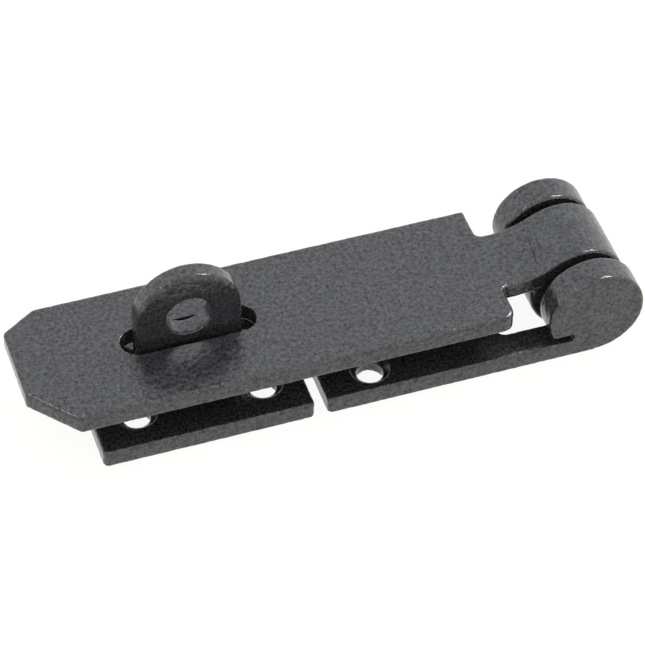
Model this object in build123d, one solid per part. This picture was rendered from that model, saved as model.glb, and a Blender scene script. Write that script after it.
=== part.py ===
from build123d import *
from math import asin, atan2, degrees, hypot, sqrt
import os

# Hasp and staple in bent steel plate. Millimetres, +Z up, fixing surface at Z = 0.
# X runs along the strap: free end at -X, hinge pin at +X. The pin's axis is parallel to Y.
# The strap is modelled closed, with the staple eye standing up through its slot.

# Driving dimensions
overall_length = 120.0
plate_width = 30.2
plate_thickness = 3.8
edge_round = 0.6
lower_edge_round = 0.3
corner_round = 1.0
cutout_round = 1.6
front_shoulder_round = 2.4
back_shoulder_round = 0.4

# Hinge pin and the three knuckles
pin_radius = 5.5
knuckle_radius = 9.65
back_knuckle_radius = 9.3
back_knuckle_shift = -1.2
knuckle_length = 6.15
knuckle_face_round = 0.7
cap_thickness = 2.5
running_clearance = 0.06
middle_radius = 9.15
middle_shift = -0.35
middle_swell_x = 1.05
middle_swell_z = 0.35
middle_length = 14.5
middle_offset = 0.3
notch_depth = 5.2
notch_height = 1.8
seam_width = 0.45
seam_depth = 3.0

# Strap
strap_top = 14.7
shoulder_reach = 16.7
neck_curve_radius = 16.0
neck_corner_round = 1.4
front_clip_length = 8.1
front_clip_width = 9.4
back_clip_length = 6.8
back_clip_width = 4.3
clip_round = 1.0
slot_length = 26.5
slot_width = 6.65
slot_shift = 0.3
slot_offset = 0.22

# Staple: the slot and the eye stand a little to the rear of the centre line
eye_reach = 77.2
rear_offset = 0.6
eye_radius = 10.35
eye_centre_height = 20.45
padlock_hole_radius = 4.4
tenon_length = 14.0
staple_plate_length = 41.5
staple_plate_shift = -0.4

# Hinge plate and the countersunk screw holes: its three stand on an even triangle
hinge_plate_reach = 54.3
cutout_reach = 17.5
screw_radius = 2.6
sink_radius = 4.0
hinge_screw_reach = 44.1
hinge_screw_side = 9.4
staple_screw_pitch = 24.9
staple_screw_side = 6.8

# Places that follow from them
half_width = plate_width / 2
pin_x = overall_length / 2 - knuckle_radius
pin_z = knuckle_radius
free_end_x = -overall_length / 2
shoulder_x = pin_x - shoulder_reach
strap_bottom = strap_top - plate_thickness
middle_x = pin_x + middle_shift
swell_centre_x = middle_x - middle_swell_x
swell_centre_z = pin_z - middle_swell_z
neck_rise = strap_top + neck_curve_radius - swell_centre_z
neck_run = sqrt((neck_curve_radius + middle_radius) ** 2 - neck_rise**2)
neck_curve_x = swell_centre_x - neck_run
eye_x = pin_x - eye_reach
knuckle_y = half_width - knuckle_length / 2
cap_y = half_width - cap_thickness / 2
cutout_width = plate_width - 2 * knuckle_length
cutout_x = pin_x - cutout_reach
hinge_plate_x = pin_x - hinge_plate_reach
hinge_screw_x = pin_x - hinge_screw_reach
pin_length = plate_width - 2 * cap_thickness
tolerance = 0.01


def y_cylinder(x, y, z, radius, length):
    """A cylinder along Y, centred on the given point."""
    return Location((x, y, z), (90, 0, 0)) * Cylinder(radius, length)


def side_profile(outline, width):
    """An outline in X and Z, extruded both ways along Y from the middle."""
    return extrude(Plane.XZ * outline, width / 2, both=True)


def corners_at(outline, x, y_values=None):
    """An outline's corners at the given X and, if any are given, at one of the given Ys."""
    corners = outline.vertices().filter_by(lambda v: abs(v.X - x) < tolerance)
    if y_values is None:
        return corners
    return corners.filter_by(lambda v: min(abs(v.Y - y) for y in y_values) < tolerance)


def rim_edges(plate, height, before_x):
    """The edges round a flat plate's face at the given height that lie before the given X."""
    def on_rim(edge):
        centre = edge.center()
        level = edge.bounding_box().size.Z < tolerance
        return level and abs(centre.Z - height) < tolerance and centre.X < before_x

    return plate.edges().filter_by(on_rim)


def rounded_flat(outline, end_x):
    """A plate that lies on Z = 0, its rims rounded up to the given X and more so on top."""
    flat = extrude(outline, plate_thickness)
    flat = fillet(rim_edges(flat, plate_thickness, end_x), edge_round)
    return fillet(rim_edges(flat, 0, end_x), lower_edge_round)


def screw_hole(x, y):
    """A countersunk screw hole, as a cutter for a plate that lies on Z = 0."""
    sink_depth = sink_radius - screw_radius
    hole = Pos(x, y, plate_thickness / 2) * Cylinder(screw_radius, 2 * plate_thickness)
    sink = Cone(screw_radius, sink_radius, sink_depth)
    return hole + Pos(x, y, plate_thickness - sink_depth / 2) * sink


def end_clip(side, clip_length, clip_width):
    """The corner cut off the strap's free end on one side."""
    corner = (free_end_x, side * half_width)
    on_end = (free_end_x, side * (half_width - clip_width))
    on_side = (free_end_x + clip_length, side * half_width)
    return make_face(Polyline(corner, on_end, on_side, close=True))


def strap_outline():
    """The strap in plan: clipped free end, shoulders, and the neck up to its curve."""
    length = shoulder_x - free_end_x
    outline = Pos(free_end_x + length / 2, 0) * Rectangle(length, plate_width)
    outline -= end_clip(-1, front_clip_length, front_clip_width)
    outline -= end_clip(1, back_clip_length, back_clip_width)
    neck_length = neck_curve_x - shoulder_x
    neck_x = shoulder_x + neck_length / 2
    outline += Pos(neck_x, middle_offset) * Rectangle(neck_length, middle_length)
    outline = fillet(corners_at(outline, free_end_x), clip_round)
    outline = fillet(corners_at(outline, free_end_x + front_clip_length), clip_round)
    outline = fillet(corners_at(outline, free_end_x + back_clip_length), clip_round)
    outline = fillet(corners_at(outline, shoulder_x, [-half_width]), front_shoulder_round)
    outline = fillet(corners_at(outline, shoulder_x, [half_width]), back_shoulder_round)
    neck_sides = [middle_offset - middle_length / 2, middle_offset + middle_length / 2]
    return fillet(corners_at(outline, shoulder_x, neck_sides), neck_corner_round)


def strap_flat():
    """The flat of the strap, its rims rounded except where the neck's curve begins."""
    flat = Pos(0, 0, strap_bottom) * extrude(strap_outline(), plate_thickness)
    end_x = neck_curve_x - tolerance
    rims = rim_edges(flat, strap_bottom, end_x) + rim_edges(flat, strap_top, end_x)
    return fillet(rims, edge_round)


def middle_outline():
    """The middle knuckle in X and Z: a little oval, fuller at its lower left."""
    length = hypot(middle_swell_x, middle_swell_z)
    slope = degrees(atan2(middle_swell_z, middle_swell_x))
    centre_x = (middle_x + swell_centre_x) / 2
    centre_z = (pin_z + swell_centre_z) / 2
    oval = SlotCenterToCenter(length, 2 * middle_radius)
    return Location((centre_x, centre_z, 0), (0, 0, slope)) * oval


def strap_roll():
    """The neck's curve and the middle knuckle, rounded along both sides."""
    centre = Vector(neck_curve_x, strap_top + neck_curve_radius)
    swell_centre = Vector(swell_centre_x, swell_centre_z)
    reach = 2 * (neck_curve_radius + plate_thickness)
    below = centre - Vector(0, reach)
    beyond = centre + (swell_centre - centre).normalized() * reach
    band = Circle(neck_curve_radius + plate_thickness) - Circle(neck_curve_radius)
    sector = make_face(Polyline(centre, below, beyond, close=True))
    outline = (Pos(centre) * band) & sector
    outline += middle_outline()
    roll = Pos(0, middle_offset, 0) * side_profile(outline, middle_length)
    sides = roll.faces().filter_by(Axis.Y).edges()
    long_edges = sides.filter_by(lambda edge: edge.center().X > neck_curve_x + tolerance)
    return fillet(long_edges, edge_round)


def seam_cutter():
    """The thin gap where the end of the roll meets the underside of the neck."""
    underside_radius = neck_curve_radius + plate_thickness
    mouth_run = swell_centre_x - middle_radius - neck_curve_x
    mouth_z = strap_top + neck_curve_radius - sqrt(underside_radius**2 - mouth_run**2)
    slope = degrees(asin((mouth_run + seam_depth / 2) / underside_radius))
    blade = Box(2 * seam_depth, plate_width, seam_width)
    return Location((neck_curve_x + mouth_run, 0, mouth_z), (0, -slope, 0)) * blade


def make_hasp_strap():
    """The moving bar, with its slot for the staple and its bore for the pin."""
    strap = strap_flat() + strap_roll()
    slot = extrude(SlotOverall(slot_length, slot_width), plate_thickness + 2)
    strap -= Pos(eye_x + slot_shift, rear_offset + slot_offset, strap_bottom - 1) * slot
    strap -= seam_cutter()
    strap -= y_cylinder(pin_x, 0, pin_z, pin_radius + running_clearance, plate_width)
    return strap


def hinge_plate_flat():
    """The hinge plate's flat in plan, cut out at the right for the middle knuckle."""
    length = pin_x - hinge_plate_x
    outline = Pos(hinge_plate_x + length / 2, 0) * Rectangle(length, plate_width)
    outline -= Pos(pin_x, 0) * Rectangle(2 * cutout_reach, cutout_width)
    outline = fillet(corners_at(outline, hinge_plate_x), corner_round)
    outline = fillet(corners_at(outline, cutout_x), cutout_round)
    return rounded_flat(outline, pin_x - tolerance)


def outer_knuckle(side, x, radius):
    """One outer knuckle, rounded most at its outer face."""
    knuckle = y_cylinder(x, side * knuckle_y, pin_z, radius, knuckle_length)
    rims = knuckle.edges().filter_by(GeomType.CIRCLE).sort_by(lambda e: side * e.center().Y)
    knuckle = fillet(rims[0], edge_round)
    rims = knuckle.edges().filter_by(GeomType.CIRCLE).sort_by(lambda e: side * e.center().Y)
    return fillet(rims[-1], knuckle_face_round)


def make_hinge_plate():
    """The fixed leaf, with its two knuckles rolled up from the plate."""
    plate = hinge_plate_flat() + outer_knuckle(-1, pin_x, knuckle_radius)
    plate += outer_knuckle(1, pin_x + back_knuckle_shift, back_knuckle_radius)
    notch_x = pin_x - knuckle_radius + notch_depth / 2
    notch = Box(notch_depth, 2 * plate_width, notch_height)
    plate -= Pos(notch_x, 0, plate_thickness + notch_height / 2) * notch
    plate -= y_cylinder(pin_x, 0, pin_z, pin_radius, 2 * plate_width)
    for side in (-1, 1):
        plate -= screw_hole(hinge_screw_x, side * hinge_screw_side)
    return plate - screw_hole(hinge_screw_x + hinge_screw_side * sqrt(3), 0)


def make_staple_plate():
    """The plate that carries the staple, with a window for its tenon."""
    outline = RectangleRounded(staple_plate_length, plate_width, corner_round)
    plate = rounded_flat(Pos(eye_x + staple_plate_shift, 0) * outline, pin_x)
    for end in (-1, 1):
        for side in (-1, 1):
            x = eye_x + end * staple_screw_pitch / 2
            plate -= screw_hole(x, side * staple_screw_side)
    window = Box(tenon_length, plate_thickness, 3 * plate_thickness)
    return plate - Pos(eye_x, rear_offset, 0) * window


def make_staple_eye():
    """The upright with its round top and padlock hole, and the tenon below it."""
    upright_height = eye_centre_height - plate_thickness
    outline = Pos(0, eye_centre_height) * Circle(eye_radius)
    upright_middle = plate_thickness + upright_height / 2
    outline += Pos(0, upright_middle) * Rectangle(2 * eye_radius, upright_height)
    upright = side_profile(outline, plate_thickness)
    rims = upright.faces().filter_by(Axis.Y).edges()
    upright = fillet(rims.filter_by(lambda e: e.center().Z > plate_thickness + 1), edge_round)
    upright -= y_cylinder(0, 0, eye_centre_height, padlock_hole_radius, plate_width)
    hole_rims = upright.edges().filter_by(GeomType.CIRCLE)
    upright = fillet(
        hole_rims.filter_by(lambda e: abs(e.radius - padlock_hole_radius) < tolerance),
        edge_round / 2,
    )
    tenon = Pos(0, 0, plate_thickness / 2) * Box(tenon_length, plate_thickness, plate_thickness)
    return Pos(eye_x, rear_offset, 0) * (upright + tenon)


def write_node(name, solid):
    """Write one node's STEP file and print its size."""
    solid.label = name
    export_step(solid, f"parts/{name}.step")
    box = solid.bounding_box()
    print(name, solid.is_valid, len(solid.solids()), box.min, box.max)


os.makedirs("parts", exist_ok=True)
write_node("hasp_strap", make_hasp_strap())
write_node("hinge_plate", make_hinge_plate())
write_node("hinge_pin", y_cylinder(pin_x, 0, pin_z, pin_radius, pin_length))
for side, place in ((-1, "front"), (1, "back")):
    cap = y_cylinder(pin_x, side * cap_y, pin_z, pin_radius, cap_thickness)
    write_node(f"pin_cap_{place}", cap)
write_node("staple_plate", make_staple_plate())
write_node("staple_eye", make_staple_eye())
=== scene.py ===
import math

import bmesh
import bpy
from mathutils import Matrix, Quaternion, Vector


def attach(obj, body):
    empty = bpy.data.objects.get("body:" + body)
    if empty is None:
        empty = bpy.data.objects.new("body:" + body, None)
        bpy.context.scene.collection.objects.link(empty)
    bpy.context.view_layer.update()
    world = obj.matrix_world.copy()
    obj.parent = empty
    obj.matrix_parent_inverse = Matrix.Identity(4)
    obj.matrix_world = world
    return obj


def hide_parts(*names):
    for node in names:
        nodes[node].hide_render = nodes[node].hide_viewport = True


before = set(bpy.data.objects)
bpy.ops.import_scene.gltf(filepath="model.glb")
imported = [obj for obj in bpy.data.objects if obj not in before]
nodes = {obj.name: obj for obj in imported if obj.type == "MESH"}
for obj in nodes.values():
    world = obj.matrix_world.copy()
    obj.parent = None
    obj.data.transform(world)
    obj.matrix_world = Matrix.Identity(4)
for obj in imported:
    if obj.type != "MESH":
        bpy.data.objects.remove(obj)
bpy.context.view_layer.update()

MM = 0.001

# The photograph's view, from the middle of the hasp: a long lens, from the front left and above
VIEW_AZIMUTH = -18.93
VIEW_ELEVATION = 46.19
VIEW_ROLL = 0.69
VIEW_DISTANCE = 627.9 * MM
VIEW_TARGET = Vector((0.48, 1.88, 6.86)) * MM
LENS = 182.5
SENSOR = 36.0

# Hammered paint: millimetres
VOXEL = 0.3
CELL = 1.05
RELIEF = 0.075

# The crease in the paint across the neck's bend: millimetres
CREASE_DEPTH = 0.14
CREASE_WIDTH = 0.32
# Share of the paint's specular level left in the crease: painted shade, dimming the crease's gloss
# to stand for the shade inside it
CREASE_PAINTED_SHADE_GLOSS = 0.2
CREASE_X = 42.2
CREASE_SLANT = 0.08
CREASE_WANDER = 1.6
CREASE_Y = -0.9
CREASE_HALF_LENGTH = 4.4
CREASE_LOWEST = 15.0


def node_tree(material):
    """An empty node tree with a Principled shader and an output."""
    material.use_nodes = True
    tree = material.node_tree
    tree.nodes.clear()
    output = tree.nodes.new("ShaderNodeOutputMaterial")
    shader = tree.nodes.new("ShaderNodeBsdfPrincipled")
    tree.links.new(shader.outputs["BSDF"], output.inputs["Surface"])
    return tree, shader


def noise(tree, vector, scale, detail=2.0, roughness=0.5):
    """A 3-D noise, with its scale in cells per millimetre."""
    node = tree.nodes.new("ShaderNodeTexNoise")
    node.inputs["Scale"].default_value = scale / MM
    node.inputs["Detail"].default_value = detail
    node.inputs["Roughness"].default_value = roughness
    tree.links.new(vector, node.inputs["Vector"])
    return node.outputs["Fac"]


def ramp(tree, value, stops):
    """A colour ramp from (place, grey or colour) stops."""
    node = tree.nodes.new("ShaderNodeValToRGB")
    elements = node.color_ramp.elements
    while len(elements) < len(stops):
        elements.new(0.5)
    for element, (place, colour) in zip(elements, stops):
        element.position = place
        grey = isinstance(colour, float)
        element.color = (colour, colour, colour, 1) if grey else (*colour, 1)
    tree.links.new(value, node.inputs["Fac"])
    return node.outputs["Color"]


def hammered_paint():
    """Charcoal hammered paint: glossy, mottled, with a fine pebbled skin."""
    material = bpy.data.materials.new("hammered_paint")
    tree, shader = node_tree(material)
    shader.inputs["IOR"].default_value = 1.62
    place = tree.nodes.new("ShaderNodeTexCoord").outputs["Object"]
    mottle = noise(tree, place, 1.6, 4.0, 0.8)
    colour = ramp(tree, mottle, ((0.38, (0.003, 0.003, 0.003)), (0.62, (0.036, 0.036, 0.036))))
    tree.links.new(colour, shader.inputs["Base Color"])
    flake = noise(tree, place, 1.3, 4.0, 0.8)
    shine = ramp(tree, flake, ((0.38, 0.24), (0.62, 0.76)))
    # Painted shade in the neck's crease: the specular level is dimmed along it to stand for the
    # shade inside the crack
    crease_painted_shade = map_range(tree, crease(tree, place), -CREASE_DEPTH * MM, 0.0, CREASE_PAINTED_SHADE_GLOSS, 1.0)
    shine = combine(tree, "MULTIPLY", shine, crease_painted_shade)
    tree.links.new(shine, shader.inputs["Specular IOR Level"])
    sheen = noise(tree, place, 0.5, 3.0, 0.6)
    rough = ramp(tree, sheen, ((0.35, 0.1), (0.65, 0.2)))
    tree.links.new(rough, shader.inputs["Roughness"])
    grain = noise(tree, place, 1.7, 4.0, 0.7)
    bump = tree.nodes.new("ShaderNodeBump")
    bump.inputs["Strength"].default_value = 0.4
    bump.inputs["Distance"].default_value = 0.12 * MM
    tree.links.new(grain, bump.inputs["Height"])
    tree.links.new(bump.outputs["Normal"], shader.inputs["Normal"])
    return material


def pin_steel():
    """The pin: dark oiled steel with turning marks round it."""
    material = bpy.data.materials.new("pin_steel")
    tree, shader = node_tree(material)
    shader.inputs["Metallic"].default_value = 1.0
    place = tree.nodes.new("ShaderNodeTexCoord").outputs["Object"]
    stretch = tree.nodes.new("ShaderNodeMapping")
    stretch.inputs["Scale"].default_value = (0.2, 6.0, 0.2)
    tree.links.new(place, stretch.inputs["Vector"])
    rings = noise(tree, stretch.outputs["Vector"], 1.0, 2.0)
    colour = ramp(tree, rings, ((0.3, 0.03), (0.7, 0.09)))
    tree.links.new(colour, shader.inputs["Base Color"])
    rough = ramp(tree, rings, ((0.3, 0.3), (0.7, 0.5)))
    tree.links.new(rough, shader.inputs["Roughness"])
    return material


def combine(tree, operation, first, second):
    """A maths node on two values, each a socket or a number."""
    node = tree.nodes.new("ShaderNodeMath")
    node.operation = operation
    for value, socket in zip((first, second), node.inputs):
        if isinstance(value, (int, float)):
            socket.default_value = value
        else:
            tree.links.new(value, socket)
    return node.outputs["Value"]


def map_range(tree, value, from_min, from_max, to_min, to_max, smooth=False):
    """A value carried from one range to another."""
    node = tree.nodes.new("ShaderNodeMapRange")
    node.interpolation_type = "SMOOTHSTEP" if smooth else "LINEAR"
    node.inputs["From Min"].default_value = from_min
    node.inputs["From Max"].default_value = from_max
    node.inputs["To Min"].default_value = to_min
    node.inputs["To Max"].default_value = to_max
    tree.links.new(value, node.inputs["Value"])
    return node.outputs["Result"]


def crease(tree, position):
    """How far the crease on the neck's bend is sunk, in metres and negative."""
    place = tree.nodes.new("ShaderNodeSeparateXYZ")
    tree.links.new(position, place.inputs["Vector"])
    wander = combine(tree, "SUBTRACT", noise(tree, position, 0.45, 2.0), 0.5)
    wander = combine(tree, "MULTIPLY", wander, CREASE_WANDER * MM)
    slant = combine(tree, "MULTIPLY", place.outputs["Y"], CREASE_SLANT)
    line = combine(tree, "ADD", combine(tree, "ADD", wander, slant), CREASE_X * MM)
    off_line = combine(tree, "SUBTRACT", place.outputs["X"], line)
    off_line = combine(tree, "ABSOLUTE", off_line, 0.0)
    groove = map_range(tree, off_line, 0.0, CREASE_WIDTH * MM, -CREASE_DEPTH * MM, 0.0, smooth=True)
    along = combine(tree, "SUBTRACT", place.outputs["Y"], CREASE_Y * MM)
    along = combine(tree, "ABSOLUTE", along, 0.0)
    half_length = CREASE_HALF_LENGTH * MM
    inside = map_range(tree, along, 0.7 * half_length, half_length, 1.0, 0.0)
    on_top = combine(tree, "GREATER_THAN", place.outputs["Z"], CREASE_LOWEST * MM)
    return combine(tree, "MULTIPLY", groove, combine(tree, "MULTIPLY", inside, on_top))


def relief_tree():
    """Geometry nodes that sink the paint's hammered dimples into a surface, never raising it."""
    tree = bpy.data.node_groups.new("hammered_relief", "GeometryNodeTree")
    tree.interface.new_socket("Geometry", in_out="INPUT", socket_type="NodeSocketGeometry")
    tree.interface.new_socket("Geometry", in_out="OUTPUT", socket_type="NodeSocketGeometry")
    start = tree.nodes.new("NodeGroupInput")
    end = tree.nodes.new("NodeGroupOutput")
    position = tree.nodes.new("GeometryNodeInputPosition")
    normal = tree.nodes.new("GeometryNodeInputNormal")
    cells = tree.nodes.new("ShaderNodeTexVoronoi")
    cells.feature = "SMOOTH_F1"
    cells.inputs["Scale"].default_value = 1 / (CELL * MM)
    cells.inputs["Smoothness"].default_value = 0.6
    tree.links.new(position.outputs["Position"], cells.inputs["Vector"])
    dimples = map_range(tree, cells.outputs["Distance"], 0.0, 0.7, -RELIEF * MM, 0.0)
    depth = combine(tree, "ADD", dimples, crease(tree, position.outputs["Position"]))
    offset = tree.nodes.new("ShaderNodeVectorMath")
    offset.operation = "SCALE"
    tree.links.new(normal.outputs["Normal"], offset.inputs[0])
    tree.links.new(depth, offset.inputs["Scale"])
    move = tree.nodes.new("GeometryNodeSetPosition")
    tree.links.new(start.outputs["Geometry"], move.inputs["Geometry"])
    tree.links.new(offset.outputs["Vector"], move.inputs["Offset"])
    tree.links.new(move.outputs["Geometry"], end.inputs["Geometry"])
    return tree


def coat_with_relief(node, tree):
    """A fine even skin over a CAD node, with the hammered dimples sunk into it."""
    skin = node.modifiers.new("skin", "REMESH")
    skin.mode = "VOXEL"
    skin.voxel_size = VOXEL * MM
    skin.use_smooth_shade = True
    relief = node.modifiers.new("relief", "NODES")
    relief.node_group = tree


def paint(node, material):
    """Give a CAD node one material."""
    node.data.materials.clear()
    node.data.materials.append(material)


def painted_as_one(name, body, nodes, swell):
    """A copy of pieces that were joined before painting, so that one skin of paint covers them."""
    mesh = bmesh.new()
    for node in nodes:
        piece = node.data.copy()
        piece.transform(node.matrix_world)
        corners = [vertex.co for vertex in piece.vertices]
        middle = sum(corners, Vector()) / len(corners)
        spread = Matrix.Diagonal((swell.get(node.name, 1.0), 1.0, swell.get(node.name, 1.0), 1.0))
        piece.transform(Matrix.Translation(middle) @ spread @ Matrix.Translation(-middle))
        mesh.from_mesh(piece)
    data = bpy.data.meshes.new(name)
    mesh.to_mesh(data)
    mesh.free()
    skin = bpy.data.objects.new(name, data)
    bpy.context.scene.collection.objects.link(skin)
    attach(skin, body)
    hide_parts(*[node.name for node in nodes])
    return skin


def add_floor():
    """A plain pale floor, glowing as a light table does."""
    bpy.ops.mesh.primitive_plane_add(size=6.0, location=(0, 0, -0.05 * MM))
    floor = bpy.context.object
    floor.name = "floor"
    material = bpy.data.materials.new("pale_floor")
    tree, shader = node_tree(material)
    shader.inputs["Base Color"].default_value = (0.06, 0.06, 0.06, 1)
    shader.inputs["Roughness"].default_value = 0.9
    shader.inputs["Emission Color"].default_value = (1.0, 0.995, 0.975, 1)
    shader.inputs["Emission Strength"].default_value = 0.935
    floor.data.materials.append(material)


def add_softbox(name, direction, distance, size, power):
    """A square soft light that faces the hasp."""
    light = bpy.data.lights.new(name, "AREA")
    light.shape = "SQUARE"
    light.size = size
    light.energy = power
    lamp = bpy.data.objects.new(name, light)
    towards = Vector(direction).normalized()
    lamp.location = towards * distance
    lamp.rotation_euler = (-towards).to_track_quat("-Z", "Y").to_euler()
    bpy.context.scene.collection.objects.link(lamp)


def add_world():
    """White studio surroundings."""
    world = bpy.data.worlds.new("studio")
    world.use_nodes = True
    background = world.node_tree.nodes["Background"]
    background.inputs["Color"].default_value = (0.97, 0.98, 1.04, 1)
    background.inputs["Strength"].default_value = 1.3
    bpy.context.scene.world = world
    bpy.context.scene.view_settings.view_transform = "Standard"


def add_camera():
    """The photograph's view."""
    data = bpy.data.cameras.new("camera")
    data.lens = LENS
    data.sensor_width = SENSOR
    data.clip_start = 0.01
    camera = bpy.data.objects.new("camera", data)
    azimuth = math.radians(VIEW_AZIMUTH)
    elevation = math.radians(VIEW_ELEVATION)
    level = math.cos(elevation)
    towards = Vector(
        (math.sin(azimuth) * level, -math.cos(azimuth) * level, math.sin(elevation))
    )
    camera.location = VIEW_TARGET + towards * VIEW_DISTANCE
    roll = Quaternion((0, 0, 1), math.radians(VIEW_ROLL))
    camera.rotation_euler = ((-towards).to_track_quat("-Z", "Y") @ roll).to_euler()
    bpy.context.scene.collection.objects.link(camera)
    bpy.context.scene.camera = camera


add_camera()
add_world()
add_floor()
add_softbox("left", (-0.58, 0.04, 0.81), 0.7, 0.07, 0.45)
add_softbox("right", (0.6, 0.24, 0.76), 0.7, 0.16, 2.2)
paint_material = hammered_paint()
steel_material = pin_steel()
relief = relief_tree()
leaf = [nodes["hinge_plate"], nodes["pin_cap_front"], nodes["pin_cap_back"]]
caps = {"pin_cap_front": 1.1, "pin_cap_back": 1.1}
coated = [nodes["hasp_strap"], nodes["staple_plate"], nodes["staple_eye"]]
coated.append(painted_as_one("painted_leaf", "fixed_leaf", leaf, caps))
for piece in coated:
    paint(piece, paint_material)
    coat_with_relief(piece, relief)
paint(nodes["hinge_pin"], steel_material)
